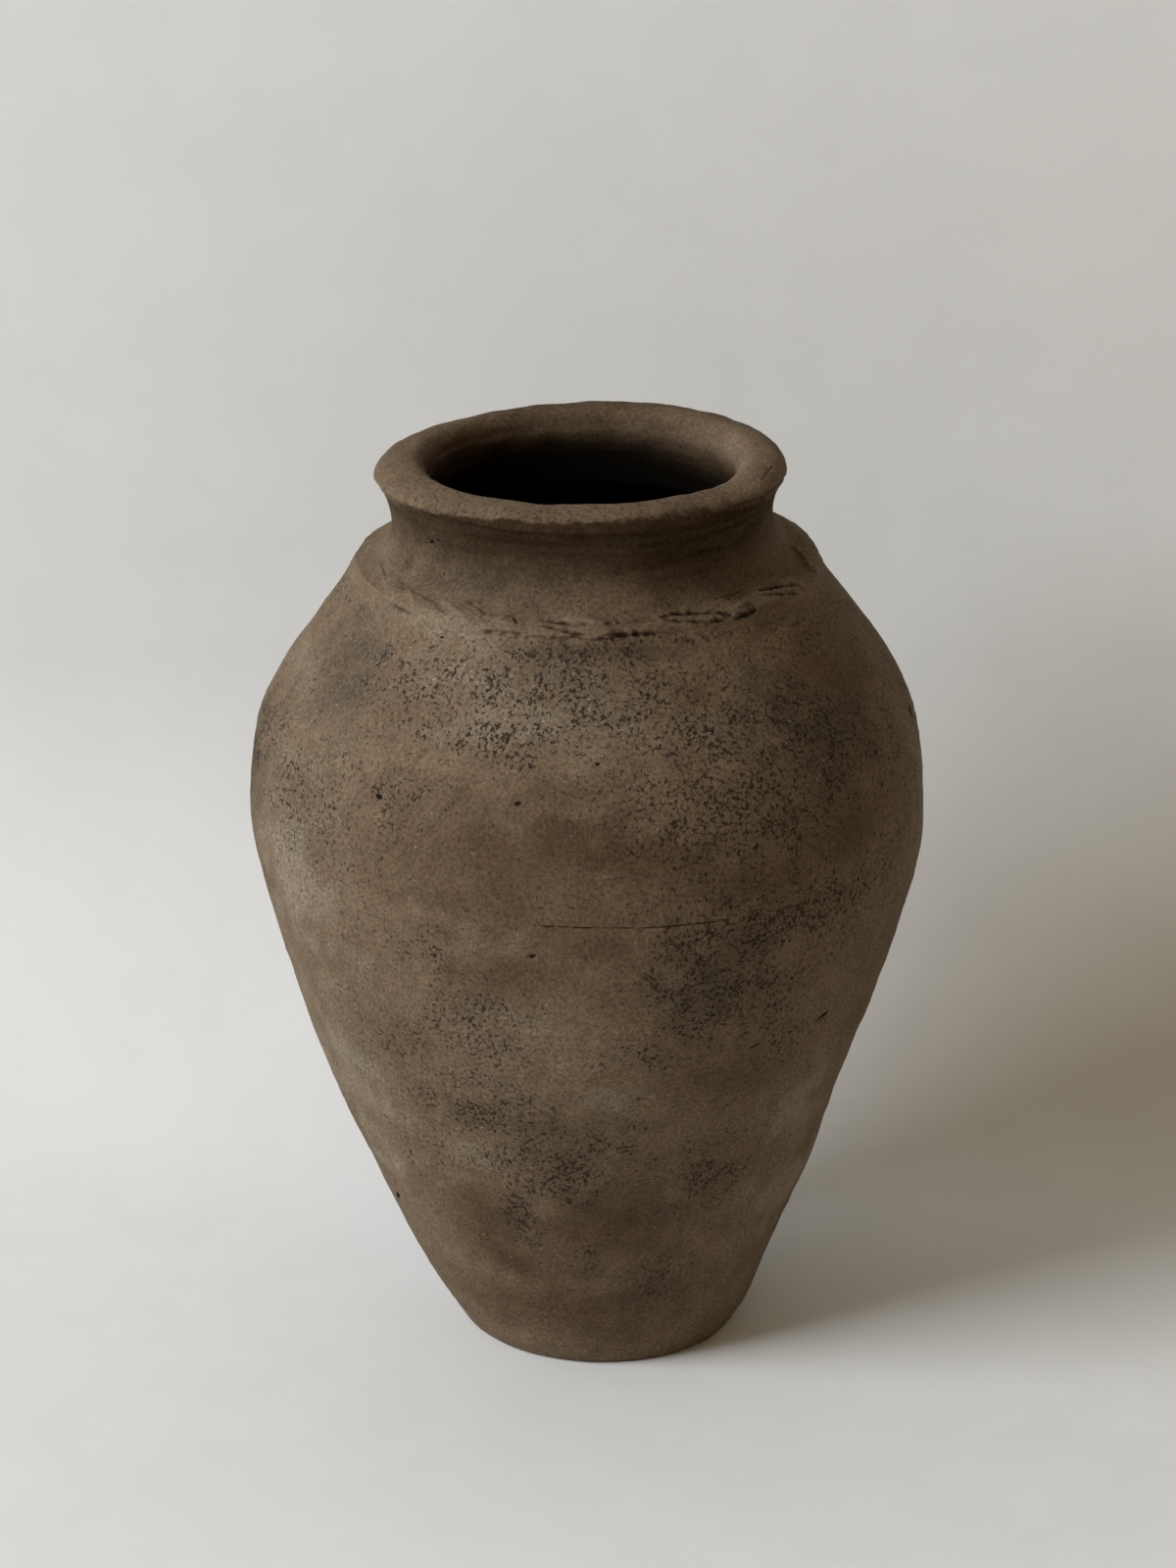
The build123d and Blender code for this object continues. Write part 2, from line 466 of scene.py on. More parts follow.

# Cracks and creases of the lip: path, width, depth. Shade is painted dark into them.
CRACKS = [
    ([(66, 328.6), (74, 328.8), (83, 328.5)], 0.55, 0.35),
    ([(60, 329.2), (69, 329.4)], 0.5, 0.2),
    ([(45, 326.6), (55, 326), (67, 325.5), (76, 325)], 0.8, 0.4),
    ([(30, 329.6), (36, 329.9), (49, 329.2)], 0.5, 0.12),
]

# Raised bits and a step in the foot: path, width, rise
RIDGES = [
    ([(29.9, 287.6), (36.4, 288.4)], 1, 0.35),
    ([(-66, 56.5), (-63.5, 60.5)], 4, 0.8),
    ([(52, 2), (70, 3), (90, 3.5)], 7, -1.7),
]

# Open stretches of the girth joint: start and end, and depth. Shade is painted dark along the open hairline.
SEAM_OPEN = [(-10, 3, 0.55), (2, 12, 0.35), (8, 25, 0.5), (26, 30, 0.35), (31, 39, 0.45)]
SEAM_TAPER = 2.5
SEAM_REACH = 0.26

# Zones of the relief: lengths past the crest of the lip, and heights
RELIEF_INSIDE = (8, 14)
RELIEF_LIP = (HEIGHT - 16, HEIGHT - 8)

# Dark flecks: place, half width, half height, strength
FLECKS = [
    (-5, 274, 30, 18, 0.8), (-6, 277, 17, 12, 1.0), (-16, 258, 18, 9, 0.9), (-36, 269, 22, 14, 0.7),
    (24, 262, 20, 10, 0.9), (22, 233, 46, 24, 0.55), (30, 242, 26, 15, 0.6), (34, 196, 32, 11, 0.9),
    (20, 177, 18, 25, 1.0), (30, 168, 16, 18, 0.6), (-19, 153, 20, 18, 0.65), (-22, 119, 26, 15, 0.8),
    (-8, 99, 25, 18, 1.0), (29, 87, 17, 16, 0.65), (46, 252, 26, 13, 0.7), (39, 261, 13, 9, 0.6),
    (15, 257, 10, 7, 0.5), (-60, 224, 30, 17, 0.45), (-36, 234, 19, 11, 0.5), (-17, 72, 7, 18, 0.85),
    (18, 40, 14, 12, 0.55), (-42, 144, 26, 15, 0.4), (-27, 182, 13, 8, 0.4), (48, 197, 18, 9, 0.6),
    (36, 146, 20, 11, 0.4), (-17, 61, 4, 4, 1.0), (-2, 56, 5, 5, 0.9), (10, 146, 14, 10, 0.55),
    (-4, 286, 30, 5, 0.9), (-40, 96, 18, 12, 0.45),
]

# Grey smoke clouds
SMOKE_CLOUDS = [
    (-61, 266, 26, 20, 1.0), (48, 252, 30, 18, 0.8), (40, 262, 17, 15, 1.0), (46, 237, 12, 8, 0.5),
    (-6, 112, 20, 14, 0.5), (10, 84, 22, 20, 0.45), (30, 88, 18, 16, 0.25), (-44, 143, 24, 16, 0.2),
    (-2, 280, 24, 14, 0.35), (21, 174, 18, 22, 0.55), (-20, 118, 20, 14, 0.2), (-52, 221, 18, 26, 0.35),
    (18, 40, 16, 13, 0.45), (64, 144, 24, 22, 0.15), (4, 286, 28, 4, 0.6), (-42, 307, 34, 12, 1.0),
    (-20, 304, 24, 8, 0.7),
]

# Smooth brown patches, rubbed with a wet hand
BROWN = [
    (-16, 221, 48, 26, 0.65), (-3, 228, 28, 15, 0.9), (9, 221, 30, 15, 0.6), (-5, 243, 24, 8, 0.55),
    (-20, 205, 40, 9, 0.55), (26, 212, 36, 9, 0.5), (1, 196, 26, 14, 0.55), (-12, 178, 30, 13, 0.5),
    (48, 222, 26, 11, 0.55), (-26, 66, 19, 24, 0.65), (2, 68, 28, 20, 0.65), (-20, 49, 20, 11, 0.75),
    (46, 38, 14, 12, 0.5), (-14, 28, 46, 16, 0.6), (28, 134, 24, 13, 0.4), (5, 287, 24, 5, 0.35),
    (60, 268, 26, 16, 0.4), (13, 293.5, 7, 3, 0.7),
]

# Pale, dusty patches
PALE = [
    (-37, 269, 20, 13, 0.9), (27, 262, 20, 11, 0.5), (-60, 196, 25, 43, 0.8), (5, 129, 10, 7, 0.5),
    (-23, 98, 12, 10, 0.5), (51, 84, 23, 39, 0.7), (-8, 151, 21, 16, 0.4), (-58, 116, 22, 33, 0.8),
    (-10, 268, 28, 14, 0.7), (-74, 258, 21, 7, 0.5), (-30, 288, 23, 7, 0.5), (0, 294.5, 12, 4, 0.35),
]

# The strip round the neck joint: lengths below and above the joint, its fullest place and its reach, how
# deep it and the wall below it are bedded, the deepest cut, the thin apron of slip beyond its edge, and the
# height and softness of its upper edge
LUTE_LOW = 12.0
LUTE_HIGH = 15.0
LUTE_MIDDLE = 2.5
LUTE_REACH = 5.0
LUTE_SUNK = 0.3
LUTE_BED = 1.35
WALL_BED = 1.2
DEEPEST_CUT = -1.1
APRON = 0.12
HIGH_EDGE = 12.0
HIGH_EDGE_FEATHER = 8.0

# By degrees round: the thickness of the strip, the level of its lower edge, and how sharply that stands up
LUTE_FILL = [
    (-95, 0.3), (-60, 0.4), (-25, 0.7), (0, 0.9), (45, 1.0), (75, 1.4), (100, 1.8), (135, 1.5), (180, 1.2),
    (225, 0.8),
]
LOW_EDGE = [
    (-90, -6.5), (-60, -6.0), (-36, -4.0), (-25, -2.4), (-5, -2.2), (5, -1.8), (18, -1.3), (26, -3.2),
    (40, -5.2), (60, -6.2), (90, -6.0), (180, -6.0),
]
EDGE_RISE = [
    (-90, 0.1), (-60, 0.1), (-31, 0.15), (-24, 0.7), (-14, 0.6), (0, 0.9), (6, 1.2), (17, 1.2), (22, 0.3),
    (36, 0.3), (66, 0.2), (90, 0.3), (120, 0.7), (150, 0.4), (180, 0.8), (210, 0.4), (240, 0.6),
]

# Soot on the neck, by degrees round: its strength, the height and softness of its torn upper edge, and the
# height where it starts
NECK_SOOT = [
    (-100, 0.7), (-70, 0.75), (-45, 0.9), (-20, 1.0), (0, 0.92), (10, 0.87), (25, 1.0), (50, 0.95), (70, 0.8),
    (180, 0.8),
]
SOOT_EDGE = [
    (-75, 320), (-50, 324), (-33, 326.3), (0, 326.8), (15, 327.2), (30, 328), (45, 327.5), (60, 325),
    (75, 321), (180, 320),
]
SOOT_SOFT = [(-90, 4.0), (-50, 2.0), (-33, 0.6), (5, 0.6), (25, 2.0), (60, 3.0), (90, 4.0)]
SOOT_LOW = [(-60, 289), (-20, 289), (10, 286), (35, 281), (55, 284), (70, 289)]
SOOT_FADE = 30.0

# Soot on the crest of the lip, by degrees round
LIP_SOOT = [(-90, 0.2), (0, 0.25), (60, 0.08), (100, 0.05), (140, 0.4), (170, 0.6), (190, 0.6), (225, 0.4)]

# The throat, by degrees round: where its soot starts past the crest of the lip, how strong it is, and where
# the painted shade of the deep inside starts. Then the lengths over which both set in.
THROAT_START = [(-115, 2.5), (-60, 2.0), (0, 3.0), (60, 4.0), (90, 5.5), (130, 6.0), (180, 4.5)]
THROAT_SOOT = [(-150, 1.0), (0, 1.0), (80, 1.0), (125, 0.9), (160, 1.0)]
THROAT_PAINTED_SHADE = [(-115, 11.0), (-60, 8.0), (60, 7.0), (125, 12.0), (165, 8.0), (210, 8.0)]
THROAT_FADE = 12.0
DARK_FADE = 13.0

# Zones of the looks: lengths past the crest of the lip, heights, and degrees off the front or another place
STREAKS_TO = (18, 30)
DEEP_SOOT_FROM = (25, 45)
NECK_SOOT_TO = (0, 3)
LIP_SOOT_FROM = (HEIGHT - 9, HEIGHT - 4)
FLECKS_TO = (296, 306)
SHOULDER_FROM = (150, 200)
SHOULDER_TO = (294, 308)
RIGHT_TURN = (0, 40)
RIGHT_FROM = (60, 140)
RIGHT_TO = (284, 300)
SPECKS_AT = -15
SPECKS_TURN = (40, 80)
SPECKS_FROM = (HEIGHT - 14, HEIGHT - 11)

# Ranges of the seeded patches at the sides and the back: degrees round, height, half width and half height
BACK_RANGES = [(78, 282), (20, 285), (14, 42), (9, 24)]


def scattered(seed, count, strengths):
    """Seeded patches for the sides and the back, which the photograph doesn't show."""
    rng = np.random.default_rng(seed)
    return list(zip(*[rng.uniform(*limits, count) for limits in (*BACK_RANGES, strengths)]))


FLECKS += scattered(41, 17, (0.35, 1.0))
SMOKE_CLOUDS += scattered(43, 17, (0.3, 0.7))
BROWN += scattered(47, 13, (0.4, 0.9))
PALE += scattered(53, 9, (0.3, 0.7))


def most(grid, patches, softness, raggedness):
    """The strongest of several patches at each place."""
    total = np.zeros(grid.s.shape)
    for az, z, half_width, half_height, strength in patches:
        patch = grid.patch(az, z, half_width, half_height, softness, raggedness)
        total = np.maximum(total, strength * patch)
    return total


# Relief of the clay

def open_seam(grid):
    """How open the girth joint is round the jar, where it shows as a hairline."""
    total = np.zeros(grid.s.shape)
    for start, end, depth in SEAM_OPEN:
        opening = smooth(start, start + SEAM_TAPER, grid.az) * falls(end - SEAM_TAPER, end, grid.az)
        total = np.maximum(total, depth * opening)
    return total * np.clip(0.7 + 0.35 * grid.noise(edge_tear), 0.1, 1)


def strip_cover(grid):
    """1 where the strip round the neck joint lies over the wall."""
    v = grid.s - JOINT_OUT
    return smooth(-1.5, -0.7, v - grid.by_turn(LOW_EDGE)) * falls(7, 10, v)


def relief(grid, bedded=True):
    """How far the skin stands out from the outline, and the shade painted dark into its cracks and the open
    hairline of the girth joint.

    Under the strip round the neck joint the skin of the wall is bedded lower.
    """
    inside = grid.past_crest(*RELIEF_INSIDE)
    pressed = smooth(*RELIEF_LIP, grid.z) * (1 - inside) * grid.mixed(LIP_PRESSED)
    wiped = (0.035 + 0.02 * grid.noise(patch_mottle)) * grid.noise(wipe)
    height = (grid.mixed(HAND) + pressed + wiped) * (1 - inside) + grid.mixed(HAND_INSIDE) * inside
    for az, z, half_length, half_width, tilt, depth in MARKS:
        far = grid.oval(az, z, half_length + MARK_MARGIN, half_width + MARK_MARGIN, tilt)
        height -= depth * bell(far)
    # Painted shade: cracks are painted dark, as if shade falls into them
    painted_shade = np.zeros(grid.s.shape)
    for path, width, depth in CRACKS:
        hole, _ = grid.groove(path, width)
        height -= depth * hole
        painted_shade = np.maximum(painted_shade, min(1, 1.4 * depth) * hole)
    height += sum(grid.ridge(*row) for row in RIDGES)
    hairline = bell((grid.s - BELLY_OUT) / SEAM_REACH) * open_seam(grid)
    height -= hairline
    # Painted shade along the open hairline of the girth joint
    painted_shade = np.maximum(painted_shade, np.clip(1.6 * hairline, 0, 0.85))
    if bedded:
        height -= WALL_BED * strip_cover(grid)
    return height, painted_shade


def strays(points):
    """Moves points of the true jar to where the hand-built one has them."""
    x, y, z = np.moveaxis(points, -1, 0)
    az = np.degrees(np.arctan2(x, -y))
    oval = 1 + OVALITY * np.cos(np.radians(2 * (az - OVALITY_FROM))) * smooth(0, OVALITY_RISE, z)
    drift = FOOT_DRIFT * np.clip(1 - z / FOOT_DRIFT_HEIGHT, 0, 1) ** FOOT_DRIFT_BEND
    drift += RIM_DRIFT * smooth(RIM_DRIFT_FROM, LIP[1], z)
    drift += SHOULDER_DRIFT * bell((z - SHOULDER_DRIFT_HEIGHT) / SHOULDER_DRIFT_REACH)
    sway = SEAM_SWAY * np.cos(np.radians(az - SEAM_SWAY_FROM)) * bell((z - BELLY_SEAM) / SEAM_SWAY_REACH)
    level = RIM_TILT * np.sin(np.radians(az))
    for at, reach, rise in RIM_WAVES:
        level += rise * bell(turn_from(az, at) / reach)
    level *= smooth(RIM_TILT_FROM, HEIGHT, z)
    return np.stack([x * oval + drift, y * oval, z + sway + level], axis=-1)


def neck_soot(grid):
    """Soot under the lip: a torn edge above, and a slow fade down to the foot of the neck."""
    edge = grid.by_turn(SOOT_EDGE) + grid.mixed(SOOT_TEAR)
    soft = grid.by_turn(SOOT_SOFT)
    above = smooth(edge - soft, edge + soft, grid.z)
    low = grid.by_turn(SOOT_LOW) + grid.mixed(SOOT_WANDER)
    fade = smooth(low, low + SOOT_FADE, grid.z)
    return grid.by_turn(NECK_SOOT) * fade * (1 - above)


def looks(grid, painted_shade):
    """What the clay shader reads at each place."""
    z = grid.z
    mottle = grid.noise(patch_mottle)
    streaks = np.clip(grid.noise(wipe), -1, 1)

    start = line.crest + grid.by_turn(THROAT_START)
    inside = smooth(start, start + THROAT_FADE, grid.s + 0.4 * grid.noise(patch_edge))
    throat = np.maximum(inside * grid.by_turn(THROAT_SOOT), grid.past_crest(*DEEP_SOOT_FROM))
    throat *= 1 - 0.4 * np.maximum(streaks, 0) * (1 - grid.past_crest(*STREAKS_TO))
    lip = smooth(*LIP_SOOT_FROM, z) * grid.by_turn(LIP_SOOT)
    neck = neck_soot(grid) * (1 - grid.past_crest(*NECK_SOOT_TO)) * (1 + 0.05 * streaks)
    # Painted shade: the deep inside of the throat is painted nearly black, where the hollow falls into shade
    dark = line.crest + grid.by_turn(THROAT_PAINTED_SHADE)
    painted_shade = np.maximum(painted_shade, smooth(dark, dark + DARK_FADE, grid.s + 1.2 * streaks))

    shoulder = smooth(*SHOULDER_FROM, z) * falls(*SHOULDER_TO, z)
    right = smooth(*RIGHT_TURN, turn_from(grid.az, 0)) * smooth(*RIGHT_FROM, z) * falls(*RIGHT_TO, z)
    specks = smooth(*SPECKS_FROM, z) * falls(*SPECKS_TURN, np.abs(turn_from(grid.az, SPECKS_AT)))
    loose = 0.06 + 0.16 * shoulder + 0.12 * right + 0.2 * specks + 0.05 * mottle
    brown = most(grid, BROWN, softness=0.9, raggedness=0.5)
    dense = most(grid, FLECKS, softness=1.0, raggedness=0.8) * falls(*FLECKS_TO, z)
    clouds = most(grid, SMOKE_CLOUDS, softness=1.0, raggedness=0.8)
    return {
        "fleck": np.clip(dense + loose * (1 - brown), 0, 1),
        "smoke": np.clip(0.8 * clouds + 0.32 * dense, 0, 1),
        "brown": np.clip(brown + 0.08 + 0.08 * mottle, 0, 1),
        "pale": np.clip(most(grid, PALE, softness=0.9, raggedness=1.0), 0, 1),
        "soot": np.clip(neck + throat + lip, 0, 1),
        "painted_shade": np.clip(painted_shade, 0, 1),
    }


# Meshes

def columns(count, fineness=WALL_FINENESS):
    """Degrees round the jar, closer together at the front."""
    share = np.linspace(-1, 1, count, endpoint=False)
    return 180 * (share - fineness * np.sin(pi * share) / pi)


def add_object(name, data):
    """Puts a new object into the scene."""
    thing = bpy.data.objects.new(name, data)
    bpy.context.scene.collection.objects.link(thing)
    return thing


def make_piece(name, slot, skin, closed=True):
    """Makes a mesh from rows of points round the jar, in millimetres, and seats it in the frame.

    Rows either close on each other in a ring, or come to a point on the axis at both ends.
    """
    rows = strays(skin.pop("points"))
    row_count, column_count, _ = rows.shape
    index = np.arange(row_count * column_count).reshape(row_count, column_count)
    below = index if closed else index[:-1]
    above = np.roll(index, -1, axis=0) if closed else index[1:]
    quads = np.stack([below, np.roll(below, -1, 1), np.roll(above, -1, 1), above], axis=-1).reshape(-1, 4)
    points = rows.reshape(-1, 3)
    faces = quads.tolist()
    if not closed:
        low_pole, high_pole = (np.full(column_count, index.size + end) for end in (0, 1))
        faces += np.column_stack([low_pole, np.roll(index[0], -1), index[0]]).tolist()
        faces += np.column_stack([index[-1], np.roll(index[-1], -1), high_pole]).tolist()
        points = np.vstack([points, rows[0].mean(0), rows[-1].mean(0)])
    mesh = bpy.data.meshes.new(name + "_skin")
    mesh.from_pydata(points * MM, [], faces)
    for key, values in skin.items():
        flat = values.ravel() if closed else np.append(values.ravel(), [values[0].mean(), values[-1].mean()])
        layer = mesh.attributes.new(key, "FLOAT", "POINT")
        layer.data.foreach_set("value", flat.astype(np.float32))
    mesh.validate()
    mesh.shade_smooth()
    mesh.set_sharp_from_angle(angle=SHARP_ANGLE)
    mesh.materials.append(MATERIALS[slot])
    piece = add_object(name + "_clay", mesh)
    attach(piece, BODY)
    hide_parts(name)


def rows_between(start, end, step, fine_at=()):
    """Lengths along the outline, closer together near joints that show."""
    count = max(3, int(round(abs(end - start) / step)) + 1)
    near = [at + side * off for at in fine_at for off in JOINT_ROWS for side in (-1, 1)]
    extra = [s for s in near if min(start, end) < s < max(start, end)]
    rows = np.unique(np.append(np.linspace(start, end, count), extra))
    keep = np.append(True, np.diff(rows) > CLOSEST_ROWS)
    keep[-1] = True
    return rows[keep]


def skin_rows(s, az):
    """Rows of points of the skin with its relief, and what the shader reads there."""
    grid = Grid(s, az)
    height, painted_shade = relief(grid)
    return {"points": grid.lifted(height), **looks(grid, painted_shade)}


def join(parts):
    """One skin from several, row after row."""
    return {key: np.vstack([part[key] for part in parts]) for key in parts[0]}


def last_row(skin, count):
    """The last row of a skin, several times over."""
    return {key: np.repeat(value[-1:], count, axis=0) for key, value in skin.items()}


def bridge(start, end):
    """Rows of a joint face between the last row of one skin and the first row of the next."""
    shares = np.linspace(0, 1, SEAM_STEPS + 2)[1:-1]
    return {key: np.stack([start[key][-1] * (1 - t) + end[key][0] * t for t in shares]) for key in start}


def wall_piece(name, slot, outer, inner, step, column_count, fine_at=(), inner_step=INNER_STEP):
    """A ring of clay between two joints: its outside, the joint above, its inside and the joint below.

    The outside of the lip runs on into its inside at the crest, with no joint above.
    """
    az = columns(column_count)
    runs_on = outer[1] == inner[0]
    inner_s = rows_between(*inner, inner_step)
    outside = skin_rows(rows_between(*outer, step, fine_at), az)
    inside = skin_rows(inner_s[1:] if runs_on else inner_s, az)
    above = [] if runs_on else [bridge(outside, inside)]
    make_piece(name, slot, join([outside, *above, inside, bridge(inside, outside)]))


def base_piece():
    """The slab under the jar, which comes to a point on the axis below and above."""
    outside = skin_rows(rows_between(BASE_STEP, BASE_OUT, BASE_STEP), columns(WALL_COLUMNS))
    shares = np.linspace(1, BASE_MIDDLE, BASE_RINGS)[1:]
    top = last_row(outside, len(shares))
    top["points"][..., :2] *= shares[:, None, None]
    make_piece("base_disc", "smoked_clay", join([outside, top]), closed=False)


def inner_lute(name, centre, radius):
    """A strip of clay pressed over a joint inside: a round of clay as far as it stands in the hollow."""
    az = columns(INNER_COLUMNS)
    bed_s = line.s[line.inside & (np.hypot(line.r - centre[0], line.z - centre[1]) < radius)]
    rows = rows_between(bed_s[0], bed_s[-1], INNER_LUTE_STEP)
    start, end = (np.arctan2(*(line.point(s) - centre)[::-1]) for s in (rows[-1], rows[0]))
    turn = (start - end) % (2 * pi)
    share = np.linspace(0, 1, max(8, int(turn * radius / INNER_LUTE_STEP)))[1:-1, None]
    across = np.cos(start - share * turn)
    up = np.sin(start - share * turn)
    place = in_space(centre[0] + radius * across, az, centre[1] + radius * up)
    pressed = sum(height * field(place) for field, height in STRIP_PRESSED_INSIDE)
    proud = radius + np.sin(pi * share) * pressed
    bed = skin_rows(rows, az)
    face = last_row(bed, len(share))
    face["points"] = in_space(centre[0] + proud * across, az, centre[1] + proud * up)
    skin = join([face, bed])
    make_piece(name, "inner_clay", {key: value[::-1] for key, value in skin.items()})


# The finger-pressed strip round the neck joint

# Lobes of smeared clay: place, half length, half width, tilt, rise, the end with the ledge, and softness
LOBES = [
    (0.2, 294.5, 11, 3.9, -8, 2, 1, 0.06),
    (12, 294.2, 6.5, 3, 3, 0.5, 0, 0.3),
    (28.5, 296.4, 10.5, 2.6, -5, 0.8, -1, 0.2),
    (42.3, 292.7, 4.2, 1.6, 6, 1.4, 1, 0.08),
    (59, 296, 9.5, 2.6, -5, 1.2, 1, 0.12),
    (54, 288.6, 11, 2.2, 0, 0.5, 0, 0.4),
    (100, 298, 15, 7, -8, 1.5, 0, 0.4),
    (-22.5, 293.2, 8.5, 2.8, -6, 0.8, 1, 0.15),
    (-35, 294, 14, 3.4, -12, 1.1, 1, 0.14),
    (-47, 292.8, 13, 3.2, -14, 0.9, 1, 0.18),
    (-62, 293.8, 14, 3.6, -16, 0.9, 1, 0.2),
    (-78, 295, 12, 4, -14, 0.5, 1, 0.4),
]

# Cuts and gaps left by the fingers: path, width, depth, rise of the lip under it. Shade is painted dark into
# them.
CUTS = [
    ([(-12, 293.9), (-6, 293.4), (0.3, 292.7)], 2.2, 0.9, 0.1),
    ([(-11.2, 292.5), (-4.8, 292), (0.5, 291)], 1.2, 0.9, 0.2),
    ([(-26, 290), (-21.5, 290.8), (-15.3, 290.7)], 1.2, 0.6, 0),
    ([(3.8, 290.9), (10.3, 291.2), (18.5, 291.2)], 1.8, 0.9, 0),
    ([(19.2, 293.8), (24.6, 294.3), (29.6, 293.4), (34.3, 292.6), (38.5, 292)], 2.2, 1.5, 0.5),
    ([(19.7, 293), (26, 292.2), (35.4, 290.9)], 1.3, 1, 0.2),
    ([(37.8, 290.9), (41.3, 291.2), (46, 291.7)], 1.7, 1.1, 0),
    ([(38, 296.1), (43.2, 296), (51.3, 296.5)], 1.3, 1, 0.6),
    ([(52.9, 294.4), (60.1, 293.2), (66.6, 292)], 2, 1.3, 0.4),
    ([(51.3, 293.3), (56.3, 292.2), (63, 290.6)], 1.4, 0.9, 0.3),
    ([(50, 297.3), (57, 297.6), (64, 296), (69, 293.6)], 1.2, 0.5, 0.2),
    ([(-56, 290.4), (-51, 290.3), (-46.2, 290.3)], 1.1, 0.5, 0.2),
    ([(-78.6, 295.5), (-72, 294.8), (-64, 293.4)], 0.9, 0.2, 0.2),
    ([(-21, 293.2), (-18.7, 293.9), (-16.6, 292.2)], 1, 0.5, 0.1),
    ([(87, 295.4), (80.5, 293.4), (77, 292.2)], 1.2, 0.5, 0),
]

# Ribs and folds pushed up beside them: path, width, rise
RIBS = [
    ([(5.2, 296.7), (11.8, 296.9), (17.7, 296.4)], 1, 0.5),
    ([(91, 295.7), (83.6, 294), (78.7, 292.7), (75.7, 290.8), (66, 291)], 2.6, 1.9),
    ([(-60, 296), (-52, 293.6), (-46, 291.6)], 1.6, 0.25),
    ([(-44, 296), (-37, 293.8), (-29, 291.6)], 1.6, 0.3),
    ([(-30.4, 290.6), (-27.8, 291.6), (-26.6, 293.4)], 1, 0.3),
]

# Ranges of the seeded strokes. A lobe: shift in degrees, tilt, height, half length, half width and rise.
# A cut: drop below its lobe, reach in degrees, sag, width, depth and rise of its lip. A rib: its
# path off its lobe in degrees and height, then width and rise.
BACK_STROKES = (100, 260)
LOBE_RANGES = [(-4, 4), (-14, 10), (291.5, 295), (9, 14), (3, 4.6), (0.4, 0.9)]
LOBE_SOFTNESS = 0.2
CUT_RANGES = [(2.5, 4), (3, 8), (-0.8, 0.8), (0.9, 1.6), (0.6, 1.3), (0, 0.4)]
CUT_CHANCE = 0.75
RIB_PATH = [(-5, 3), (6, 2.6)]
RIB_RANGES = [(0.9, 1.6), (0.3, 0.6)]
RIB_CHANCE = 0.5


def back_strokes(seed, count):
    """Seeded lobes, cuts and ribs for the part of the strip that the photograph doesn't show."""
    rng = np.random.default_rng(seed)

    def draws(ranges):
        return [rng.uniform(*limits) for limits in ranges]

    lobes, cuts, ribs = [], [], []
    for az in np.linspace(*BACK_STROKES, count):
        shift, tilt, z, half_length, half_width, rise = draws(LOBE_RANGES)
        az += shift
        lobes.append((az, z, half_length, half_width, tilt, rise, 1, LOBE_SOFTNESS))
        if rng.uniform() < CUT_CHANCE:
            drop, reach, sag, width, depth, lip = draws(CUT_RANGES)
            low = z - drop
            cuts.append(([(az - reach, low), (az, low + sag), (az + reach, low)], width, depth, lip))
        if rng.uniform() < RIB_CHANCE:
            ribs.append(([(az + turn, z + up) for turn, up in RIB_PATH], *draws(RIB_RANGES)))
    return lobes, cuts, ribs


more_lobes, more_cuts, more_ribs = back_strokes(61, 10)
LOBES += more_lobes
CUTS += more_cuts
RIBS += more_ribs


def lobe(grid, az, z, half_length, half_width, tilt, rise, head, softness):
    """Height of a leaf of smeared clay, thick at the end with the ledge and thinning out to its tail."""
    along, over = grid.along_and_over(az, z, tilt)
    along = along / half_length
    tail = np.clip(-head * along, 0, 1) if head else 0
    far = np.hypot(along, over / half_width * (1 + 0.8 * tail)) + 0.05 * grid.noise(edge_tear)
    soft = softness + 0.3 * tail
    leaf = falls(1 - 1.6 * soft, 1 + soft, far)
    return rise * leaf * (1 - 0.7 * tail) * (1 - 0.35 * np.clip(far, 0, 1) ** 2)


def lute_height(grid):
    """Thickness of the strip over the clay below it, the shade painted into its cuts and under its lower
    edge, and how much of it shows.
    """
    v = grid.s - JOINT_OUT
    ring = Grid(np.array([JOINT_OUT]), grid.az[0])
    tear = grid.noise(edge_tear)
    low_edge = grid.by_turn(LOW_EDGE) + 0.4 * edge_wander(ring.place) + 0.25 * tear
    high_edge = HIGH_EDGE + 1.2 * edge_wander(ring.place[..., ::-1])
    upper = falls(high_edge - HIGH_EDGE_FEATHER, high_edge + 1.0, v)
    above = v - low_edge
    edge = grid.by_turn(EDGE_RISE)
    body = grid.by_turn(LUTE_FILL) * bell((v - LUTE_MIDDLE) / LUTE_REACH)
    shelf = edge * smooth(-0.35, 0.35, above) * falls(0, 8, above)
    height = body * smooth(0, 5, above) + shelf
    height += smooth(0, 4, above) * grid.mixed(STRIP_PRESSED)
    height += sum(lobe(grid, *row) for row in LOBES) + sum(grid.ridge(*row) for row in RIBS)
    shown = smooth(-0.5, 0.5, above) * upper
    apron = smooth(-4.0, -2.5, above) * upper
    height = height * shown + APRON * apron - LUTE_SUNK * (1 - apron)
    painted_shade = np.zeros(grid.s.shape)
    # Cuts are dented, and shade is painted dark into them
    for path, width, depth, lip_rise in CUTS:
        hole, lip = grid.groove(path, width)
        height += lip_rise * lip - depth * hole
        painted_shade = np.maximum(painted_shade, np.clip(0.8 * depth * hole * (1 + 0.35 * tear), 0, 0.8))
    # Painted shadow along the wall just under the strip's lower edge, where that edge stands up
    shade = bell((above + 0.2) / 0.5) * smooth(0.45, 0.9, edge)
    painted_shade = np.maximum(painted_shade, 0.7 * shade * np.clip(0.6 + 0.6 * tear, 0, 1))
    return np.maximum(height, DEEPEST_CUT), painted_shade, shown


# Rows of the strip: stretches from one length off the joint to another, and their steps
LUTE_ROWS = [(-LUTE_LOW, -8, 0.5), (-8, 8, 0.27), (8, LUTE_HIGH, 0.6)]
LUTE_BED_ROWS = 7
LUTE_CLEAN = 0.85


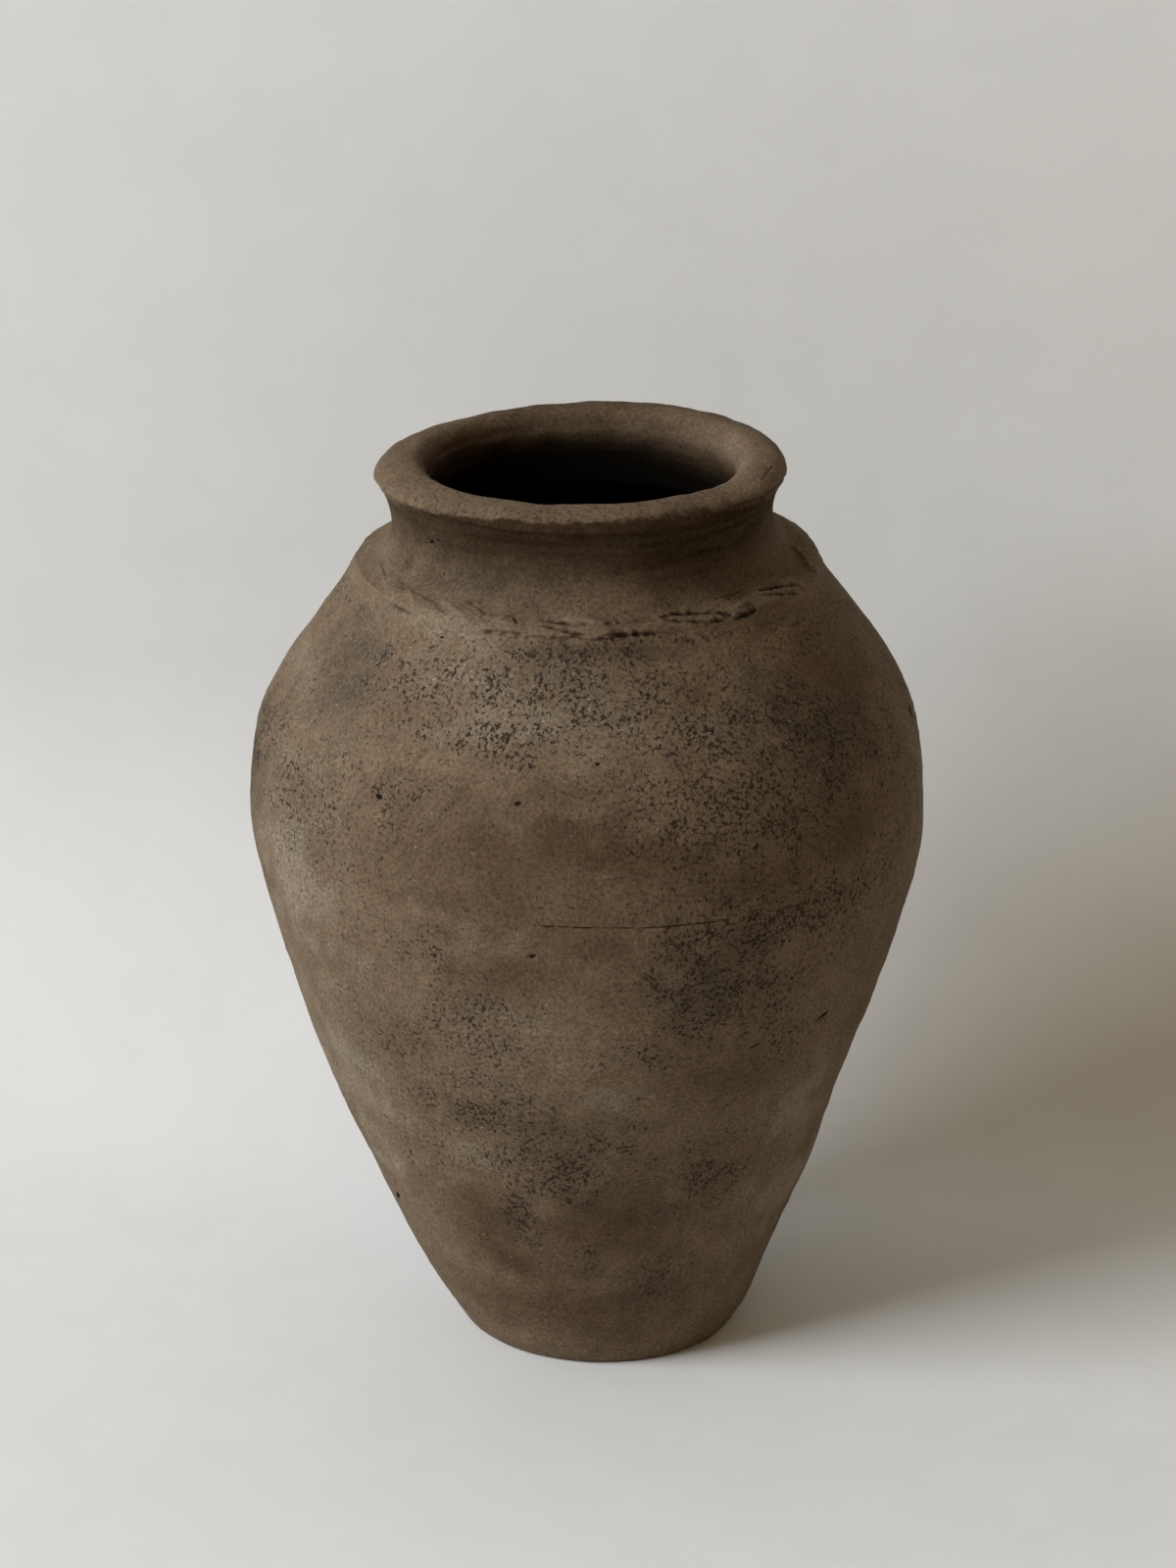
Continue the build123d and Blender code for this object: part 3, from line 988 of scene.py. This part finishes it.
def neck_lute_piece():
    """The strip: its pressed face, and its bed just under the skin that it covers."""
    az = columns(LUTE_COLUMNS, LUTE_FINENESS)
    rows = np.concatenate([np.arange(*stretch) for stretch in LUTE_ROWS])
    face = Grid(JOINT_OUT + rows, az)
    bed = Grid(JOINT_OUT + np.linspace(rows[-1], rows[0], LUTE_BED_ROWS), az)
    thickness, painted_shade, shown = lute_height(face)
    face_skin = {"points": face.lifted(relief(face, bedded=False)[0] + thickness), **looks(face, painted_shade)}
    face_skin["fleck"] *= 1 - LUTE_CLEAN * shown
    bed_points = bed.lifted(relief(bed, bedded=False)[0] - LUTE_BED)
    bed_skin = {"points": bed_points, **looks(bed, np.zeros(bed.s.shape))}
    make_piece("neck_lute", "lute_clay", join([face_skin, bed_skin]))


# Materials

class Nodes:
    """Short calls for the nodes of a material or of the world."""

    def __init__(self, owner):
        owner.use_nodes = True
        self.owner = owner
        self.tree = owner.node_tree

    @cached_property
    def place(self):
        """Places on the object, in metres."""
        return self.new("TexCoord").outputs["Object"]

    def new(self, kind, *values, **named):
        """A new node, with inputs in order or by name linked to other nodes or set to plain values."""
        node = self.tree.nodes.new("ShaderNode" + kind)
        for socket, value in zip(node.inputs, values):
            self.put(socket, value)
        for name, value in named.items():
            self.put(node.inputs[name], value)
        return node

    def put(self, socket, value):
        """Links a node's output to a socket, or sets the socket to a plain value."""
        if isinstance(value, bpy.types.NodeSocket):
            self.tree.links.new(value, socket)
        else:
            socket.default_value = value

    def attribute(self, name):
        node = self.new("Attribute")
        node.attribute_name = name
        return node.outputs["Fac"]

    def noise(self, size, detail, roughness, distortion=0.0, shift=0.0):
        """Noise whose blots are about a size, in metres."""
        moved = self.new("VectorMath", self.place, (shift, shift, shift))
        return self.new("TexNoise", Vector=moved.outputs[0], Scale=0.5 / size, Detail=detail,
                        Roughness=roughness, Distortion=distortion).outputs["Fac"]

    def math(self, operation, a, b, clamp=False):
        node = self.new("Math", a, b)
        node.operation = operation
        node.use_clamp = clamp
        return node.outputs[0]

    def times(self, a, b):
        return self.math("MULTIPLY", a, b)

    def minus(self, a, b):
        return self.math("SUBTRACT", a, b)

    def span(self, value, low, high, to_low=0.0, to_high=1.0):
        """Maps a value smoothly from one range to another."""
        node = self.new("MapRange", value, low, high, to_low, to_high)
        node.interpolation_type = "SMOOTHSTEP"
        return node.outputs["Result"]

    def broken(self, name, noise, low, high, least):
        """An attribute that noise between two values breaks up, leaving at least a share of it."""
        return self.math("MULTIPLY", self.attribute(name), self.span(noise, low, high, least), clamp=True)

    def mix(self, share, a, b, blend="MIX"):
        """Mixes two colours."""
        node = self.new("Mix")
        node.data_type = "RGBA"
        node.blend_type = blend
        colours = [socket for socket in node.inputs if socket.type == "RGBA"]
        self.put(node.inputs[0], share)
        for socket, colour in zip(colours, (a, b)):
            self.put(socket, (*colour, 1) if isinstance(colour, tuple) else colour)
        return [socket for socket in node.outputs if socket.type == "RGBA"][0]

    def oval(self, middle, turn, half_sizes):
        """Distance from the middle of an oval in space, where 1 is its edge."""
        local = self.new("Mapping", self.place, middle, turn, half_sizes)
        local.vector_type = "TEXTURE"
        far = self.new("VectorMath", local.outputs["Vector"])
        far.operation = "LENGTH"
        return far.outputs["Value"]

    def show(self, share, a, b, output):
        """Shows one shader or another, by a share from 0 to 1."""
        either = self.new("MixShader", share, a, b)
        self.put(self.tree.nodes[output].inputs["Surface"], either.outputs["Shader"])


def mark_frame(az, z, tilt):
    """Middle of a mark in metres, and the turn that lays it along the skin."""
    s = line.outer_at(z)
    r, height = line.point(s)
    normal_r, normal_z = line.normal(s)
    turn = radians(az)
    lean = radians(tilt)
    aside = Vector((cos(turn), sin(turn), 0))
    out = Vector((normal_r * sin(turn), -normal_r * cos(turn), normal_z))
    up = out.cross(aside)
    along = aside * cos(lean) + up * sin(lean)
    over = up * cos(lean) - aside * sin(lean)
    middle = strays(np.array([r * sin(turn), -r * cos(turn), height])) * MM
    return tuple(middle), Matrix((along, over, out)).transposed().to_euler()


# Colours of the clay
CLAY = (0.134, 0.096, 0.062)
BROWN_CLAY = (0.058, 0.035, 0.019)
PALE_CLAY = (0.190, 0.156, 0.112)
SMOKE = (0.058, 0.045, 0.031)
FLECK = (0.022, 0.016, 0.011)
CHALK = (0.250, 0.215, 0.160)
SOOT = (0.026, 0.016, 0.009)
# Painted shade, for cracks, cuts, pits, the open joint, under the strip's edge and deep in the throat
PAINTED_SHADE_COLOUR = (0.003, 0.0023, 0.0016)

# Sizes of the blots in the clay, in metres
CLOUD_SIZE = 0.014
CLUSTER_SIZE = 0.0045
MOTTLE_SIZE = 0.0035
GRIT_SIZE = 0.0011
FLECK_SIZE = 0.0007
GRAIN_SIZE = 0.00065
CHALK_SIZE = 0.0006

# What noise has to pass to show as a fleck or as chalk, and how far full strength lowers that
FLECK_LINE = 0.71
FLECK_DROP = 0.195
CHALK_LINE = 0.73
CHALK_DROP = 0.16
CHALK_STRENGTH = 0.6

# Shine of bare clay, and the fine roughness: shares of grain, grit and flecks, strength and depth in metres
SHINE = 0.06
GRAIN_RISE = 0.35
GRIT_RISE = 0.65
FLECK_FALL = 0.3
BUMP_STRENGTH = 0.7
BUMP_DEPTH = 0.00035
FAR_OFF = 10.0


def clay_material(name, marks=()):
    """Matte smoke-fired clay: clouds of colour, dark flecks, fine grain and pits, with shade painted dark
    into hollows.
    """
    n = Nodes(bpy.data.materials.new(name))
    cloud = n.noise(CLOUD_SIZE, 4, 0.6)
    mottle = n.noise(MOTTLE_SIZE, 3, 0.6)
    grain = n.noise(GRAIN_SIZE, 3, 0.65)
    grit = n.noise(GRIT_SIZE, 2, 0.55)
    blots = n.noise(FLECK_SIZE, 2, 0.6, 0.6)
    chalk_blots = n.noise(CHALK_SIZE, 1, 0.5, 0.5, shift=3.7)
    cluster = n.noise(CLUSTER_SIZE, 3, 0.55, shift=1.9)

    brown = n.broken("brown", cloud, 0.3, 0.6, 0.8)
    pale = n.broken("pale", cloud, 0.7, 0.35, 0.4)
    smoke = n.broken("smoke", mottle, 0.25, 0.6, 0.55)
    soot = n.broken("soot", mottle, 0.2, 0.6, 0.85)
    density = n.broken("fleck", cluster, 0.32, 0.6, 0.45)
    painted_shade = n.attribute("painted_shade")
    fleck_line = n.minus(FLECK_LINE, n.times(n.math("POWER", density, 0.5), FLECK_DROP))
    fleck = n.span(n.minus(blots, fleck_line), -0.03, 0.04)
    chalk_line = n.minus(CHALK_LINE, n.times(pale, CHALK_DROP))
    chalk = n.span(n.minus(chalk_blots, chalk_line), 0.0, 0.06)
    shade = n.times(n.span(grain, 0.3, 0.7, 0.72, 1.28), n.span(mottle, 0.25, 0.75, 0.88, 1.12))

    colour = n.mix(brown, CLAY, BROWN_CLAY)
    colour = n.mix(pale, colour, PALE_CLAY)
    colour = n.mix(smoke, colour, SMOKE)
    colour = n.mix(n.times(fleck, n.span(density, 0.0, 0.6, 0.6, 0.92)), colour, FLECK)
    colour = n.mix(n.times(chalk, CHALK_STRENGTH), colour, CHALK)
    colour = n.mix(soot, colour, SOOT)
    colour = n.mix(1.0, colour, shade, "MULTIPLY")
    # Painted shade from the skin: cracks, cuts, the open joint, under the strip's edge and deep in the throat
    colour = n.mix(painted_shade, colour, PAINTED_SHADE_COLOUR)
    # Painted shade: the pits, chips and slits of the marks are painted nearly black, with ragged edges
    if marks:
        far = FAR_OFF
        for az, z, half_length, half_width, tilt, _ in marks:
            half_sizes = (half_length * MM, half_width * MM, MARK_REACH * MM)
            far = n.math("MINIMUM", n.oval(*mark_frame(az, z, tilt), half_sizes), far)
        ragged = n.math("ADD", far, n.span(blots, 0.3, 0.7, -MARK_RAG, MARK_RAG))
        colour = n.mix(n.span(ragged, 1.1, 0.75, 0.0, 0.95), colour, PAINTED_SHADE_COLOUR)

    bare = n.times(n.minus(1.0, soot), n.minus(1.0, painted_shade))
    height = n.math("ADD", n.times(grain, GRAIN_RISE), n.times(grit, GRIT_RISE))
    height = n.minus(height, n.times(fleck, FLECK_FALL))
    bump = n.new("Bump", Height=height, Strength=BUMP_STRENGTH, Distance=BUMP_DEPTH)
    shader = n.tree.nodes["Principled BSDF"].inputs
    n.put(shader["Base Color"], colour)
    n.put(shader["Roughness"], n.span(mottle, 0.25, 0.75, 0.74, 0.92))
    n.put(shader["Specular IOR Level"], n.times(bare, SHINE))
    n.put(shader["Normal"], bump.outputs["Normal"])
    return n.owner


MATERIALS = {
    "smoked_clay": clay_material("smoked_clay", [mark for mark in MARKS if mark[1] < NECK_JOINT[1]]),
    "sooty_clay": clay_material("sooty_clay", [mark for mark in MARKS if mark[1] > NECK_JOINT[1]]),
    "lute_clay": clay_material("lute_clay"),
    "inner_clay": clay_material("inner_clay"),
}

# Pieces from the foot up
base_piece()
wall_piece("lower_wall", "smoked_clay", (BASE_OUT, LOWER_OUT), (LOWER_IN, BASE_IN), 1.6, WALL_COLUMNS)
wall_piece("belly_wall", "smoked_clay", (LOWER_OUT, BELLY_OUT), (BELLY_IN, LOWER_IN), 0.9, WALL_COLUMNS,
           fine_at=(BELLY_OUT,))
wall_piece("shoulder_wall", "smoked_clay", (BELLY_OUT, JOINT_OUT), (JOINT_IN, BELLY_IN), 1.3, WALL_COLUMNS,
           fine_at=(BELLY_OUT,))
wall_piece("neck_collar", "sooty_clay", (JOINT_OUT, LIP_OUT), (LIP_IN, JOINT_IN), 0.55, NECK_COLUMNS,
           inner_step=1.4)
wall_piece("rim_coil", "smoked_clay", (LIP_OUT, line.crest), (line.crest, LIP_IN), 0.45, NECK_COLUMNS,
           inner_step=0.7)
neck_lute_piece()

# Strips over the joints inside
SEAM_LUTE_RADIUS = 12.0
SEAM_LUTE_PROUD = 2.5
BASE_LUTE_RADIUS = 9.0
set_back = SEAM_LUTE_RADIUS - SEAM_LUTE_PROUD
inner_lute("base_lute", line.point(BASE_IN), BASE_LUTE_RADIUS)
inner_lute("lower_seam_lute", line.point(LOWER_IN) + [set_back, 0], SEAM_LUTE_RADIUS)
inner_lute("belly_seam_lute", line.point(BELLY_IN) + [set_back, 0], SEAM_LUTE_RADIUS)
shoulder_out = np.array([cos(SHOULDER_LEAN), sin(SHOULDER_LEAN)])
inner_lute("throat_lute", line.point(JOINT_IN) + shoulder_out * set_back, SEAM_LUTE_RADIUS)


# Paper sweep, light and camera

WINDOW_AZIMUTH = radians(-62.5)
WINDOW_ELEVATION = radians(31.0)
WINDOW_DISTANCE = 5.0
WINDOW_AIM = Vector((0.0, 0.0, 0.16))
WINDOW_WIDTH = 2.8
WINDOW_HEIGHT = 1.5
WINDOW_POWER = 300
WINDOW_COLOUR = (0.97, 1.0, 1.04)
ROOM_LIGHT = (0.285, 0.205, 0.1, 1)
ROOM_WALL = (0.7, 0.69, 0.67, 1)
PAPER = (0.645, 0.655, 0.655)
FIBRE_SIZE = 0.02
PAPER_ROUGHNESS = 0.9
PAPER_SHINE = 0.1
SWEEP_START = 0.07
SWEEP_RADIUS = 0.17
SWEEP_WIDTH = 14.0
SWEEP_FRONT = -7.0
SWEEP_TOP = 2.5
SWEEP_STEPS = 33


def paper_sweep():
    """A pale sheet that runs along the table and up behind the jar. A camera behind it looks through it."""
    turn = np.radians(np.linspace(-90, 0, SWEEP_STEPS))
    curve_y = SWEEP_START + SWEEP_RADIUS * np.cos(turn)
    curve_z = SWEEP_RADIUS + SWEEP_RADIUS * np.sin(turn)
    section = [(SWEEP_FRONT, 0.0), *zip(curve_y, curve_z), (SWEEP_START + SWEEP_RADIUS, SWEEP_TOP)]
    points = [(float(x), float(y), float(z)) for y, z in section for x in (-SWEEP_WIDTH / 2, SWEEP_WIDTH / 2)]
    faces = [(2 * i, 2 * i + 1, 2 * i + 3, 2 * i + 2) for i in range(len(section) - 1)]
    mesh = bpy.data.meshes.new("paper_sweep")
    mesh.from_pydata(points, [], faces)
    mesh.shade_smooth()
    n = Nodes(bpy.data.materials.new("paper"))
    shader = n.tree.nodes["Principled BSDF"]
    fibre = n.span(n.noise(FIBRE_SIZE, 4, 0.6), 0.3, 0.7, 0.985, 1.015)
    n.put(shader.inputs["Base Color"], n.mix(1.0, PAPER, fibre, "MULTIPLY"))
    n.put(shader.inputs["Roughness"], PAPER_ROUGHNESS)
    n.put(shader.inputs["Specular IOR Level"], PAPER_SHINE)
    seen = n.new("LightPath").outputs["Is Camera Ray"]
    behind = n.times(seen, n.new("NewGeometry").outputs["Backfacing"])
    clear = n.new("BsdfTransparent")
    n.show(behind, shader.outputs["BSDF"], clear.outputs["BSDF"], "Material Output")
    mesh.materials.append(n.owner)
    sweep = add_object("paper_sweep", mesh)
    sweep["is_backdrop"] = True


def window_light():
    """A wide, low window to the left of the jar."""
    level = cos(WINDOW_ELEVATION)
    towards = Vector((sin(WINDOW_AZIMUTH) * level, -cos(WINDOW_AZIMUTH) * level, sin(WINDOW_ELEVATION)))
    lamp = bpy.data.lights.new("window", "AREA")
    lamp.shape = "RECTANGLE"
    lamp.size = WINDOW_WIDTH
    lamp.size_y = WINDOW_HEIGHT
    lamp.energy = WINDOW_POWER
    lamp.color = WINDOW_COLOUR
    holder = add_object("window", lamp)
    holder.location = WINDOW_AIM + towards * WINDOW_DISTANCE
    holder.rotation_euler = (-towards).to_track_quat("-Z", "Y").to_euler()


def room():
    """Dim warm light from all round, seen directly as a pale wall."""
    n = Nodes(bpy.data.worlds.new("room"))
    bpy.context.scene.world = n.owner
    light = n.tree.nodes["Background"]
    wall = n.new("Background", Color=ROOM_WALL)
    n.put(light.inputs["Color"], ROOM_LIGHT)
    path = n.new("LightPath")
    seen = path.outputs["Is Camera Ray"]
    for ray in ("Is Glossy Ray", "Is Transmission Ray"):
        seen = n.math("MAXIMUM", seen, path.outputs[ray])
    n.show(seen, light.outputs["Background"], wall.outputs["Background"], "World Output")


paper_sweep()
window_light()
room()

CAMERA_PLACE = (0.0, -1.778, 0.892)
CAMERA_PITCH = 21.1
CAMERA_LENS = 122.0
CAMERA_SENSOR = 36.0
camera_data = bpy.data.cameras.new("camera")
camera_data.lens = CAMERA_LENS
camera_data.sensor_width = CAMERA_SENSOR
camera = add_object("camera", camera_data)
camera.location = CAMERA_PLACE
camera.rotation_euler = (radians(90 - CAMERA_PITCH), 0, 0)
bpy.context.scene.camera = camera
bpy.context.scene.view_settings.view_transform = "Standard"

boxes = {"cad": cad_bounds, "visual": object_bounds()}
{key: [list(corner) for corner in box] for key, box in boxes.items()}
